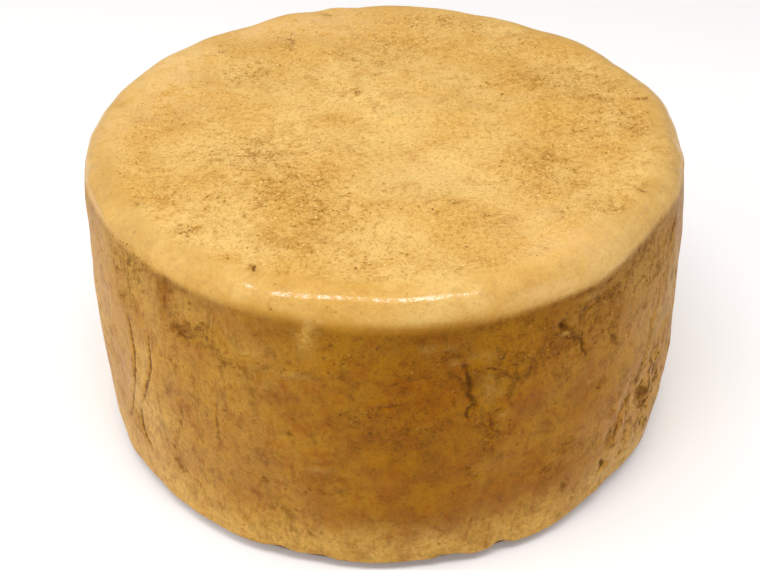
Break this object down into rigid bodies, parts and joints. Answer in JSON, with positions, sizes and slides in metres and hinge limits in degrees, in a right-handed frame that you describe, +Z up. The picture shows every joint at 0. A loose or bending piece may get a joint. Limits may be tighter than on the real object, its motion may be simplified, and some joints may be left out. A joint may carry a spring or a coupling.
{
  "type": "sheep cheese wheel",
  "caption": "Whole round sheep's milk cheese with a flat top, a soft rim, a bellied side and a creased, pitted natural rind.",
  "frame": {"origin": "middle of the flat underside, on the surface that the wheel stands on", "axes": "+Z up through the middle of the wheel, +X to the right of the pictured view, -Y towards the camera"},
  "size_m": [0.1966, 0.1962, 0.1028],
  "materials": {
    "rind": "waxy natural rind, golden yellow on top and amber brown on the side"
  },
  "bodies": {
    "root": {"cheese_wheel": "rind"}
  },
  "joints": []
}
